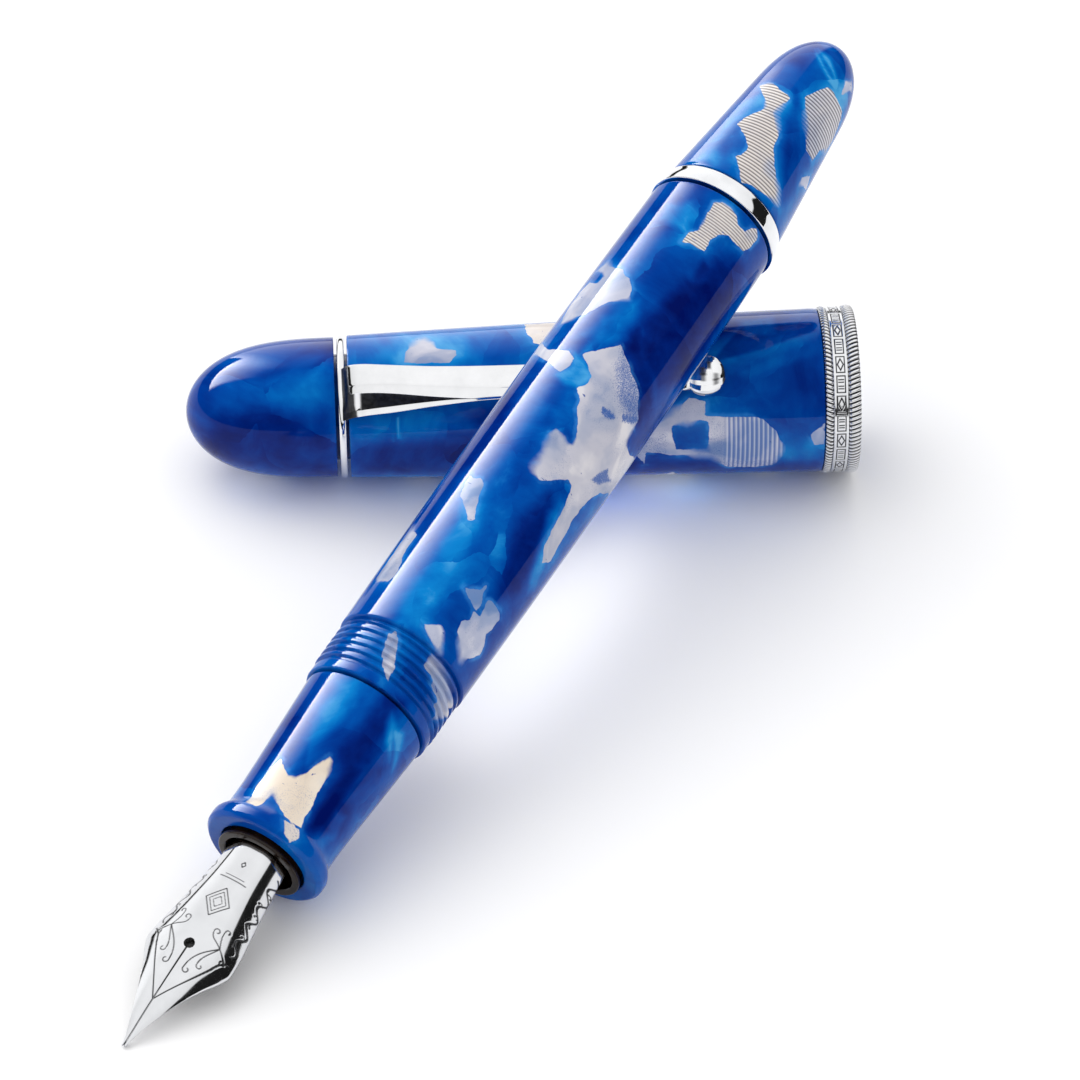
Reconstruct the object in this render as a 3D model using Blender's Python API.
"""Piston-filling fountain pen lying across its own cap.

Metres, +Z up.  The cap lies on its side along X, the uncapped pen leans with
its barrel on the cap's clip and its nib tip on the surface.  The origin is the
bottom centre of the whole arrangement's box.

Every turned piece is described by its profile along its own axis: s is the
distance from the nib tip along the pen, t the distance from the crown's end
along the cap, both in millimetres.
"""
import math

import bmesh
import bpy
from mathutils import Matrix, Vector

MM = 0.001

# ---------------------------------------------------------------- placement
PEN_TILT = 14.37            # pen axis above the surface, degrees
PEN_PLAN = 56.17            # pen axis in plan, from +X towards +Y, degrees
NIB_ROLL = 15.2             # nib's top turned from vertical about the pen axis
PEN_TIP = (-36.877, -54.263, 0.30)     # nib tip on the pen axis, mm
CAP_TILT = 1.42             # cap axis above the surface, mouth end high
CAP_END = (-31.797, 29.567, 6.962)    # crown's end on the cap axis, mm
CLIP_ANGLE = 40.0           # clip's middle, from the cap's top towards -Y

# ---------------------------------------------------------------- pen sizes
PEN_LENGTH = 134.35
NIB_EXPOSED = 22.2
FLANGE_R = 4.37
SECTION_FRONT = 22.95
SECTION_END = 41.2
SECTION_LIP_R = 6.30
SECTION_NECK_R = 5.6
SECTION_REAR_R = 6.27
SECTION_BORE_R = 4.3
INK_CHANNEL_R = 3.0
TENON_R = 5.3
TENON_END = 50.4
COLLAR_R = 6.57
THREAD_ROOT_R = 6.35
THREAD_CREST_R = 6.68
THREAD_PITCH = 0.88
THREAD_TURNS = 6
BARREL_SHOULDER = 47.72
BARREL_END = 107.63
BARREL_R = 6.83
BARREL_SWELL = 0.26
BARREL_SOCKET_R = 5.65
INK_CHAMBER_R = 4.6
CHAMBER_START = 50.9
CHAMBER_END = 85.9
RING_START = 107.93
RING_END = 109.95
RING_R_FRONT = 7.07
RING_R_REAR = 6.84
RING_BORE_R = 4.0
KNOB_START = 110.25
KNOB_R = 6.58
KNOB_WAIST = 125.3
KNOB_WAIST_R = 5.13
KNOB_END_POWER = 2.6
MECH_R = 5.3
MECH_BORE_R = 2.85
MECH_NECK_R = 3.65
ROD_R = 2.5
ROD_BORE_R = 1.75
SPINDLE_R = 1.4
PISTON_R = 4.28
PISTON_FRONT = 79.4
GAP = 0.30

# ---------------------------------------------------------------- cap sizes
CAP_LENGTH = 68.36
CROWN_LENGTH = 15.28
CROWN_R = 7.14
CROWN_POWER = 3.03
CLIP_RING_START = 15.58
CLIP_RING_END = 16.31
CLIP_RING_R = 7.36
TUBE_START = 16.61
TUBE_R_START = 7.27
TUBE_R_END = 8.37
TUBE_SWELL = 0.14
BAND_START = 64.63
BAND_R = 8.56
BAND_SEAT_R = 7.75
MOUTH_BORE_R = 7.0
LIP_BORE_R = 6.6
LINER_BORE_R = 6.2
LINER_R = 5.9
LINER_INNER_R = 5.1
CLIP_ROOT_T = 16.0
CLIP_END_T = 54.6
CLIP_ROOT_WIDTH = 5.8
CLIP_NARROW_WIDTH = 3.7
CLIP_BALL_WIDTH = 4.3
CLIP_OUTER_R = 10.77

SIDES = 24                  # sides of the larger turned pieces
SIDES_SMALL = 16            # sides of the pieces inside


# ---------------------------------------------------------------- clean start
for old in list(bpy.data.objects):
    bpy.data.objects.remove(old, do_unlink=True)

COLLECTION = bpy.context.scene.collection


def material(name, colour, roughness, metallic):
    mat = bpy.data.materials.new(name)
    mat.use_nodes = True
    shader = mat.node_tree.nodes["Principled BSDF"]
    shader.inputs["Base Color"].default_value = (*colour, 1.0)
    shader.inputs["Roughness"].default_value = roughness
    shader.inputs["Metallic"].default_value = metallic
    mat.diffuse_color = (*colour, 1.0)
    return mat


def empty(name, matrix):
    obj = bpy.data.objects.new(name, None)
    COLLECTION.objects.link(obj)
    obj.location = matrix.to_translation()
    obj.rotation_euler = matrix.to_euler()
    return obj


def frame_matrix(origin, side, up, along):
    """Matrix of a frame whose X, Y, Z are side, up, along, at origin in mm."""
    mat = Matrix((side, up, along)).transposed().to_4x4()
    mat.translation = Vector(origin) * MM
    return mat


# pen frame: Z runs from the nib tip to the knob, Y is the nib's top
tilt = math.radians(PEN_TILT)
plan = math.radians(PEN_PLAN)
pen_z = Vector((math.cos(tilt) * math.cos(plan), math.cos(tilt) * math.sin(plan), math.sin(tilt)))
level = Vector((0, 0, 1)) - pen_z * pen_z.z
level.normalize()
pen_y = Matrix.Rotation(math.radians(NIB_ROLL), 3, pen_z) @ level
pen_x = pen_y.cross(pen_z)
PEN = empty("pen_frame", frame_matrix(PEN_TIP, pen_x, pen_y, pen_z))

# cap frame: Z runs from the crown's end to the mouth, Y is its top
tilt = math.radians(CAP_TILT)
cap_z = Vector((math.cos(tilt), 0.0, math.sin(tilt)))
cap_y = Vector((-math.sin(tilt), 0.0, math.cos(tilt)))
cap_x = cap_y.cross(cap_z)
CAP = empty("cap_frame", frame_matrix(CAP_END, cap_x, cap_y, cap_z))


def finish(name, bm, parent, station, mat, smooth=True):
    """Object from a bmesh drawn in mm, with its origin at station on the axis."""
    bmesh.ops.translate(bm, vec=(0, 0, -station), verts=bm.verts)
    bmesh.ops.scale(bm, vec=(MM, MM, MM), verts=bm.verts)
    bmesh.ops.recalc_face_normals(bm, faces=bm.faces)
    mesh = bpy.data.meshes.new(name)
    bm.to_mesh(mesh)
    bm.free()
    if smooth:
        mesh.shade_smooth()
        mesh.set_sharp_from_angle(angle=math.radians(35))
    mesh.materials.append(mat)
    obj = bpy.data.objects.new(name, mesh)
    COLLECTION.objects.link(obj)
    obj.parent = parent
    obj.location = (0, 0, station * MM)
    return obj


def spin_profile(bm, profile, sides, closed):
    """Turn a profile of (radius, station) points about Z."""
    verts = [bm.verts.new((0.0, -r, z)) for r, z in profile]
    edges = [bm.edges.new(pair) for pair in zip(verts, verts[1:])]
    if closed:
        edges.append(bm.edges.new((verts[-1], verts[0])))
    bmesh.ops.spin(bm, geom=verts + edges, cent=(0, 0, 0), axis=(0, 0, 1),
                   angle=2 * math.pi, steps=sides, use_merge=True)
    bmesh.ops.remove_doubles(bm, verts=bm.verts, dist=1e-4)


def turned(name, profile, parent, mat, sides=SIDES, station=None):
    """Turned piece.  A profile that starts and ends on the axis is solid,
    any other is closed on itself and has a hole through it."""
    bm = bmesh.new()
    solid = profile[0][0] == 0.0 and profile[-1][0] == 0.0
    spin_profile(bm, profile, sides, not solid)
    if station is None:
        station = min(z for _, z in profile)
    return finish(name, bm, parent, station, mat)


def ring_profile(radius, wire, station, points=6):
    """Round section of an O-ring."""
    return [(radius + wire * math.cos(2 * math.pi * k / points),
             station + wire * math.sin(2 * math.pi * k / points)) for k in range(points)]


def loft(bm, rings):
    """Skin rings of equal point count and cap both ends."""
    rows = [[bm.verts.new(p) for p in ring] for ring in rings]
    for a, b in zip(rows, rows[1:]):
        n = len(a)
        for i in range(n):
            bm.faces.new((a[i], a[(i + 1) % n], b[(i + 1) % n], b[i]))
    bm.faces.new(rows[0][::-1])
    bm.faces.new(rows[-1])


def smoothstep(x):
    x = min(1.0, max(0.0, x))
    return x * x * (3 - 2 * x)


def through(stops, x):
    """Smooth curve through (x, y) stops: monotone cubic."""
    n = len(stops)
    if x <= stops[0][0]:
        return stops[0][1]
    if x >= stops[-1][0]:
        return stops[-1][1]
    slope = [(stops[i + 1][1] - stops[i][1]) / (stops[i + 1][0] - stops[i][0]) for i in range(n - 1)]
    tang = [slope[0]] + [0.0 if slope[i - 1] * slope[i] <= 0 else 2 * slope[i - 1] * slope[i] / (slope[i - 1] + slope[i])
                         for i in range(1, n - 1)] + [slope[-1]]
    for i in range(n - 1):
        if x <= stops[i + 1][0]:
            h = stops[i + 1][0] - stops[i][0]
            u = (x - stops[i][0]) / h
            return (stops[i][1] * (1 + 2 * u) * (1 - u) ** 2 + tang[i] * h * u * (1 - u) ** 2
                    + stops[i + 1][1] * u * u * (3 - 2 * u) - tang[i + 1] * h * u * u * (1 - u))
    return stops[-1][1]


# ---------------------------------------------------------------- materials
steel = material("polished_steel", (0.80, 0.81, 0.83), 0.08, 1.0)
tipping = material("tipping_alloy", (0.62, 0.62, 0.64), 0.22, 1.0)
ebonite = material("black_feed", (0.015, 0.014, 0.013), 0.38, 0.0)
housing_black = material("black_housing", (0.012, 0.011, 0.010), 0.22, 0.0)
acrylic_section = material("blue_marble_section", (0.01, 0.12, 0.62), 0.06, 0.0)
acrylic_barrel = material("blue_marble_barrel", (0.01, 0.11, 0.60), 0.06, 0.0)
acrylic_knob = material("blue_marble_knob", (0.01, 0.10, 0.58), 0.06, 0.0)
acrylic_tube = material("blue_marble_cap", (0.01, 0.11, 0.60), 0.06, 0.0)
acrylic_crown = material("blue_marble_crown", (0.01, 0.08, 0.55), 0.06, 0.0)
trim_chrome = material("trim_ring_chrome", (0.86, 0.87, 0.89), 0.05, 1.0)
clip_chrome = material("clip_chrome", (0.87, 0.88, 0.90), 0.05, 1.0)
band_chrome = material("band_chrome", (0.84, 0.85, 0.87), 0.07, 1.0)
rope_chrome_a = material("rope_chrome_rear", (0.80, 0.81, 0.83), 0.12, 1.0)
rope_chrome_b = material("rope_chrome_mouth", (0.80, 0.81, 0.83), 0.12, 1.0)
brass = material("turned_brass", (0.72, 0.52, 0.22), 0.25, 1.0)
mech_plastic = material("mechanism_plastic", (0.05, 0.05, 0.06), 0.40, 0.0)
rod_plastic = material("rod_plastic", (0.62, 0.64, 0.68), 0.40, 0.0)
piston_plastic = material("piston_plastic", (0.86, 0.87, 0.88), 0.35, 0.0)
rubber_section = material("section_seal_rubber", (0.02, 0.02, 0.02), 0.60, 0.0)
rubber_piston = material("piston_seal_rubber", (0.02, 0.02, 0.02), 0.60, 0.0)
rubber_mech = material("mechanism_seal_rubber", (0.02, 0.02, 0.02), 0.60, 0.0)
liner_plastic = material("liner_plastic", (0.10, 0.10, 0.12), 0.45, 0.0)


# ---------------------------------------------------------------- nib
NIB_THICK = 0.36
NIB_TAIL = 33.0
HALF_WIDTH = [(0.9, 0.36), (3.0, 1.02), (6.0, 2.05), (8.0, 2.85), (9.6, 3.62), (10.7, 3.95), (12.0, 3.90),
              (15.0, 3.58), (18.5, 3.22), (22.4, 3.05), (26.0, 3.0), (33.0, 3.0)]
RIDGE = [(0.9, 0.30), (3.0, 0.95), (6.0, 1.78), (10.0, 2.62), (14.0, 3.05), (18.0, 3.25), (22.4, 3.30), (33.0, 3.30)]
SAG = [(0.9, 0.10), (3.0, 0.16), (6.0, 0.40), (10.0, 1.20), (14.0, 1.62), (18.0, 1.85), (22.4, 2.00), (33.0, 2.10)]


def nib_point(s, u, depth=0.0):
    """Point on the nib plate: u runs across it from -1 to 1."""
    w = through(HALF_WIDTH, s)
    sag = through(SAG, s)
    bend = (w * w + sag * sag) / (2 * sag)
    half = math.asin(min(1.0, w / bend))
    a = u * half
    r = bend - depth
    return (r * math.sin(a), through(RIDGE, s) - bend + r * math.cos(a), s)


def nib():
    bm = bmesh.new()
    across = 10
    stations = [0.9, 2.0, 3.2, 4.6, 6.0, 7.4, 8.6, 9.6, 10.2, 10.7, 11.3, 12.0, 13.5, 15.5, 18.0, 20.5, 22.4, 27.0, NIB_TAIL]
    rings = []
    for s in stations:
        top = [nib_point(s, -1 + 2 * k / across) for k in range(across + 1)]
        low = [nib_point(s, 1 - 2 * k / across, NIB_THICK) for k in range(across + 1)]
        rings.append(top + low)
    loft(bm, rings)
    obj = finish("nib", bm, PEN, 0.0, steel)
    # breather hole and slit, cut from the top
    cut = bmesh.new()
    bmesh.ops.create_cone(cut, cap_ends=True, segments=14, radius1=0.52, radius2=0.52, depth=4.0,
                          matrix=Matrix.Translation((0, 2.6, 10.9)) @ Matrix.Rotation(math.pi / 2, 4, "X"))
    hole = finish("nib_hole_cutter", cut, PEN, 0.0, steel, smooth=False)
    cut = bmesh.new()
    bmesh.ops.create_cube(cut, size=1.0, matrix=Matrix.Translation((0, 2.0, 5.2)) @ Matrix.Diagonal((0.10, 5.0, 11.4, 1)))
    slit = finish("nib_slit_cutter", cut, PEN, 0.0, steel, smooth=False)
    for cutter in (hole, slit):
        cutter.hide_render = True
        cutter.display_type = "WIRE"
        mod = obj.modifiers.new(cutter.name, "BOOLEAN")
        mod.operation = "DIFFERENCE"
        mod.solver = "EXACT"
        mod.object = cutter
    return obj


nib()

# the two halves of the tipping bead, one on each tine
for name, side in (("tipping_left", -1), ("tipping_right", 1)):
    bm = bmesh.new()
    bmesh.ops.create_uvsphere(bm, u_segments=10, v_segments=7, radius=1.0)
    bmesh.ops.transform(bm, verts=bm.verts,
                        matrix=Matrix.Translation((0.20 * side, 0.02, 0.34)) @ Matrix.Diagonal((0.15, 0.30, 0.34, 1)))
    finish(name, bm, PEN, 0.0, tipping)

# ---------------------------------------------------------------- feed
FEED_WIDTH = [(6.5, 0.55), (8.5, 1.45), (10.5, 2.1), (13.0, 2.45), (34.0, 2.50), (36.5, 2.50)]
FEED_TOP = [(6.5, 0.75), (8.5, 1.15), (10.5, 1.62), (14.0, 2.05), (18.0, 2.30), (22.0, 2.42), (36.5, 2.42)]
FEED_LOW = [(6.5, 0.35), (8.5, 1.35), (11.0, 2.15), (15.0, 2.70), (22.0, 2.90), (24.0, 2.50), (36.5, 2.50)]


def feed_ring(s, inset, points=16):
    w = through(FEED_WIDTH, s)
    top = through(FEED_TOP, s)
    low = through(FEED_LOW, s) - inset
    w -= inset * 0.6
    ring = []
    for k in range(points):
        a = 2 * math.pi * k / points
        y = math.sin(a)
        ring.append((w * math.cos(a), y * (top if y > 0 else low), s))
    return ring


bm = bmesh.new()
rings = [feed_ring(6.5, 0), feed_ring(8.0, 0), feed_ring(9.8, 0), feed_ring(11.2, 0)]
s = 11.2
while s < 20.6:              # comb of fins on the underside
    rings += [feed_ring(s + 0.08, 0.55), feed_ring(s + 0.62, 0.55), feed_ring(s + 0.70, 0), feed_ring(s + 1.34, 0)]
    s += 1.42
rings += [feed_ring(22.0, 0), feed_ring(24.0, 0), feed_ring(36.5, 0)]
loft(bm, rings)
finish("feed", bm, PEN, 6.5, ebonite)

# ---------------------------------------------------------------- nib housing
turned("nib_housing", [
    (3.62, NIB_EXPOSED + 0.2), (3.90, NIB_EXPOSED), (FLANGE_R - 0.12, NIB_EXPOSED), (FLANGE_R, NIB_EXPOSED + 0.12),
    (FLANGE_R, SECTION_FRONT - 0.33), (4.0, SECTION_FRONT - 0.33), (4.0, 36.4),
    (2.82, 36.4), (2.82, 33.4), (3.62, 33.4)], PEN, housing_black, sides=24)

# ---------------------------------------------------------------- section
SECTION_OUTER = [(24.3, SECTION_LIP_R), (25.0, 6.12), (25.8, 5.82), (27.0, SECTION_NECK_R), (30.0, 5.70), (35.0, 5.97),
                 (40.7, SECTION_REAR_R), (SECTION_END - GAP, SECTION_REAR_R - 0.05)]
turned("section", [
    (SECTION_BORE_R, SECTION_FRONT + 0.1), (4.7, SECTION_FRONT), (5.6, SECTION_FRONT - 0.02), (6.08, SECTION_FRONT + 0.18),
    (SECTION_LIP_R, SECTION_FRONT + 0.6)] + [(r, s) for s, r in SECTION_OUTER] + [
    (TENON_R, SECTION_END - GAP), (TENON_R, 42.0), (4.4, 42.0), (4.4, 43.4), (TENON_R, 43.4), (TENON_R, TENON_END - 0.3),
    (TENON_R - 0.3, TENON_END), (INK_CHANNEL_R, TENON_END), (INK_CHANNEL_R, 36.9), (SECTION_BORE_R, 36.9)],
    PEN, acrylic_section)
turned("section_seal", ring_profile(5.01, 0.31, 42.7), PEN, rubber_section, sides=20)

# ---------------------------------------------------------------- barrel
profile = [(BARREL_SOCKET_R, SECTION_END), (COLLAR_R - 0.12, SECTION_END), (COLLAR_R, SECTION_END + 0.12),
           (COLLAR_R, SECTION_END + 1.1), (THREAD_ROOT_R, SECTION_END + 1.25)]
s = SECTION_END + 1.45
for turn in range(THREAD_TURNS):
    profile += [(THREAD_CREST_R, s + 0.22), (THREAD_CREST_R, s + 0.46), (THREAD_ROOT_R, s + 0.68)]
    s += THREAD_PITCH
    if turn < THREAD_TURNS - 1:
        profile.append((THREAD_ROOT_R, s))
profile += [(BARREL_R - 0.1, BARREL_SHOULDER - 0.02), (BARREL_R, BARREL_SHOULDER + 0.1)]
steps = 8
for k in range(1, steps):
    u = k / steps
    profile.append((BARREL_R + BARREL_SWELL * math.sin(math.pi * u), BARREL_SHOULDER + (BARREL_END - BARREL_SHOULDER) * u))
profile += [(BARREL_R, BARREL_END - 0.1), (BARREL_R - 0.1, BARREL_END),
            (BARREL_SOCKET_R, BARREL_END), (BARREL_SOCKET_R, CHAMBER_END), (INK_CHAMBER_R, CHAMBER_END),
            (INK_CHAMBER_R, CHAMBER_START), (BARREL_SOCKET_R, CHAMBER_START)]
turned("barrel", profile, PEN, acrylic_barrel)

# ---------------------------------------------------------------- trim ring
turned("barrel_trim_ring", [
    (RING_BORE_R, RING_START), (RING_R_FRONT - 0.12, RING_START), (RING_R_FRONT, RING_START + 0.2),
    (RING_R_FRONT, RING_START + 0.7), (RING_R_REAR + 0.07, RING_END - 0.5), (RING_R_REAR, RING_END - 0.15),
    (RING_R_REAR - 0.12, RING_END), (RING_BORE_R, RING_END)], PEN, trim_chrome)

# ---------------------------------------------------------------- filling mechanism
turned("mechanism_housing", [
    (MECH_BORE_R, CHAMBER_END + 0.35), (MECH_R, CHAMBER_END + 0.35), (MECH_R, 87.8), (4.2, 87.8), (4.2, 89.6), (MECH_R, 89.6),
    (MECH_R, 107.3), (MECH_NECK_R, 107.3), (MECH_NECK_R, 113.9), (MECH_BORE_R, 113.9)], PEN, mech_plastic, sides=24)
turned("mechanism_seal", ring_profile(4.92, 0.42, 88.7), PEN, rubber_mech, sides=20)
turned("piston_head", [
    (0.0, PISTON_FRONT), (3.4, PISTON_FRONT), (PISTON_R, PISTON_FRONT + 0.35), (PISTON_R, PISTON_FRONT + 0.9),
    (PISTON_R - 0.5, PISTON_FRONT + 1.4), (3.3, PISTON_FRONT + 1.4), (3.3, PISTON_FRONT + 3.0), (PISTON_R - 0.5, PISTON_FRONT + 3.0),
    (PISTON_R, PISTON_FRONT + 3.5), (PISTON_R, PISTON_FRONT + 5.0), (1.5, PISTON_FRONT + 5.0), (1.5, PISTON_FRONT + 1.8),
    (0.0, PISTON_FRONT + 1.8)], PEN, piston_plastic, sides=SIDES_SMALL)
turned("piston_seal", ring_profile(3.92, 0.32, PISTON_FRONT + 2.2), PEN, rubber_piston, sides=SIDES_SMALL)
turned("piston_rod", [
    (0.0, 81.6), (1.15, 81.6), (1.15, 84.75), (ROD_R, 84.75), (ROD_R, 120.6), (ROD_BORE_R, 120.6), (ROD_BORE_R, 87.2),
    (0.0, 87.2)], PEN, rod_plastic, sides=SIDES_SMALL)
profile = [(0.0, 87.6), (SPINDLE_R - 0.25, 87.6)]
s = 88.2
while s < 117.5:            # coarse driving screw
    profile += [(SPINDLE_R - 0.25, s), (SPINDLE_R, s + 0.9), (SPINDLE_R, s + 2.4), (SPINDLE_R - 0.25, s + 3.3)]
    s += 5.1
profile += [(SPINDLE_R - 0.25, 121.0), (2.85, 121.0), (2.85, 123.6), (0.0, 123.6)]
turned("piston_spindle", profile, PEN, brass, sides=12)


def knob_radius(s):
    taper = KNOB_R + (KNOB_WAIST_R - KNOB_R) * (s - KNOB_START) / (KNOB_WAIST - KNOB_START)
    u = max(0.0, s - KNOB_WAIST) / (PEN_LENGTH - KNOB_WAIST)
    return taper * math.sqrt(max(0.0, 1 - u ** KNOB_END_POWER))


stations = [KNOB_START + 0.12, 115.0, 120.0, KNOB_WAIST, 127.4, 129.4, 131.0, 132.3, 133.2, 133.8, 134.18]
profile = [(4.0, KNOB_START), (KNOB_R - 0.12, KNOB_START)] + [(knob_radius(s), s) for s in stations] + [(0.0, PEN_LENGTH)]
profile += [(0.0, 124.0), (3.2, 124.0), (3.2, 114.3), (4.0, 114.3)]
bm = bmesh.new()
verts = [bm.verts.new((0.0, -r, z)) for r, z in profile]
n_axis = len(profile) - 4    # the first axis point, at the knob's end
edges = [bm.edges.new((a, b)) for i, (a, b) in enumerate(zip(verts, verts[1:])) if i != n_axis - 1]
edges.append(bm.edges.new((verts[-1], verts[0])))
bmesh.ops.spin(bm, geom=verts + edges, cent=(0, 0, 0), axis=(0, 0, 1), angle=2 * math.pi, steps=SIDES, use_merge=True)
bmesh.ops.remove_doubles(bm, verts=bm.verts, dist=1e-4)
finish("piston_knob", bm, PEN, KNOB_START, acrylic_knob)

# ---------------------------------------------------------------- cap crown
def crown_radius(t):
    x = 1 - t / (CROWN_LENGTH + 0.3)
    return CROWN_R * math.sqrt(max(0.0, 1 - x ** CROWN_POWER))


stations = [0.12, 0.42, 0.95, 1.8, 3.0, 4.6, 6.6, 9.0, 12.0, CROWN_LENGTH - 0.1]
profile = [(0.0, 0.0)] + [(crown_radius(t), t) for t in stations] + [
    (CROWN_R - 0.1, CROWN_LENGTH), (5.4, CROWN_LENGTH), (5.4, 18.6), (3.0, 18.6), (3.0, 9.0), (0.0, 9.0)]
turned("cap_crown", profile, CAP, acrylic_crown)


# ---------------------------------------------------------------- cap tube
def tube_radius(t):
    u = (t - TUBE_START) / (BAND_START - TUBE_START)
    return TUBE_R_START + (TUBE_R_END - TUBE_R_START) * u + TUBE_SWELL * math.sin(math.pi * u)


profile = [(5.75, TUBE_START), (TUBE_R_START - 0.1, TUBE_START)]
steps = 8
for k in range(steps + 1):
    t = TUBE_START + 0.12 + (BAND_START - 0.42 - TUBE_START) * k / steps
    profile.append((tube_radius(t), t))
profile += [(TUBE_R_END - 0.08, BAND_START - 0.30), (BAND_SEAT_R, BAND_START - 0.30), (BAND_SEAT_R, CAP_LENGTH - 0.05),
            (MOUTH_BORE_R, CAP_LENGTH - 0.05), (MOUTH_BORE_R, 57.0), (LIP_BORE_R, 56.4), (LIP_BORE_R, 43.6),
            (LINER_BORE_R, 43.6), (LINER_BORE_R, 18.6), (5.75, 18.6)]
turned("cap_tube", profile, CAP, acrylic_tube)
turned("inner_cap", [
    (0.0, 18.95), (LINER_R - 0.3, 18.95), (LINER_R, 19.3), (LINER_R, 43.3), (LINER_INNER_R, 43.3), (LINER_INNER_R, 20.0),
    (0.0, 20.0)], CAP, liner_plastic, sides=24)


# ---------------------------------------------------------------- cap bands
def rope_profile(start, end, radius):
    mid = (start + end) / 2
    return [(BAND_SEAT_R + 0.3, start), (radius - 0.22, start), (radius - 0.05, start + 0.14), (radius, mid),
            (radius - 0.05, end - 0.14), (radius - 0.22, end), (BAND_SEAT_R + 0.3, end)]


turned("rope_ring_rear", rope_profile(BAND_START, BAND_START + 0.95, BAND_R), CAP, rope_chrome_a, sides=32)
turned("cap_band", [(BAND_SEAT_R + 0.3, 65.88), (BAND_R - 0.1, 65.88), (BAND_R - 0.08, 67.10), (BAND_SEAT_R + 0.3, 67.10)],
       CAP, band_chrome, sides=32)
turned("rope_ring_mouth", rope_profile(67.40, CAP_LENGTH, BAND_R + 0.06), CAP, rope_chrome_b, sides=32)

# ---------------------------------------------------------------- clip
# the ring is clamped between crown and tube, the arm rises out of it and ends
# in a rolled ball that presses on the cap
CLIP_WIDTH = [(CLIP_ROOT_T, CLIP_ROOT_WIDTH), (20.0, 5.5), (26.0, 4.5), (32.0, 3.8), (42.0, CLIP_NARROW_WIDTH),
              (49.6, 3.3), (50.6, 3.8), (52.4, CLIP_BALL_WIDTH), (53.8, 3.7), (CLIP_END_T, 2.2)]
CLIP_TOP = [(CLIP_ROOT_T, 7.36), (16.6, 9.0), (17.6, 9.75), (19.5, 10.15), (26.0, 10.4), (36.0, 10.7), (44.0, CLIP_OUTER_R),
            (49.0, 10.5), (52.4, 10.3), (53.8, 9.9), (CLIP_END_T, 9.3)]
CLIP_LOW = [(CLIP_ROOT_T, 7.0), (17.0, 7.66), (18.4, 8.6), (20.0, 8.95), (26.0, 9.25), (36.0, 9.65), (44.0, 9.7), (49.0, 9.4),
            (50.4, 9.0), (51.4, 8.62), (52.6, 8.46), (53.8, 8.62), (CLIP_END_T, 8.9)]


def clip_ring(t):
    w = through(CLIP_WIDTH, t) / 2
    top = through(CLIP_TOP, t)
    low = through(CLIP_LOW, t)
    h = top - low
    crown = min(0.35, h * 0.3)
    pts = [(-w, low + 0.12 * h), (-w * 0.94, low), (w * 0.94, low), (w, low + 0.12 * h), (w, top - crown),
           (w * 0.55, top - crown * 0.25), (0.0, top), (-w * 0.55, top - crown * 0.25), (-w, top - crown)]
    return [(x, y, t) for x, y in pts]


bm = bmesh.new()
loft(bm, [clip_ring(t) for t in (CLIP_ROOT_T, 16.6, 17.6, 19.2, 22.0, 26.0, 32.0, 38.0, 44.0, 49.0, 50.4, 51.4, 52.5, 53.8, CLIP_END_T)])
# the ring keeps its sides clear of crown and tube, so the root is cut square there
arm = finish("clip_arm_tool", bm, CAP, 0.0, clip_chrome, smooth=False)
arm.rotation_euler = (0, 0, math.radians(CLIP_ANGLE))
arm.hide_render = True
arm.display_type = "WIRE"

ring = turned("clip", [(5.75, CLIP_RING_START), (CROWN_R - 0.06, CLIP_RING_START), (CROWN_R + 0.06, CLIP_RING_START + 0.12),
                       (CLIP_RING_R, CLIP_RING_END - 0.16), (CLIP_RING_R - 0.1, CLIP_RING_END), (5.75, CLIP_RING_END)],
              CAP, clip_chrome)
mod = ring.modifiers.new("arm", "BOOLEAN")
mod.operation = "UNION"
mod.solver = "EXACT"
mod.object = arm
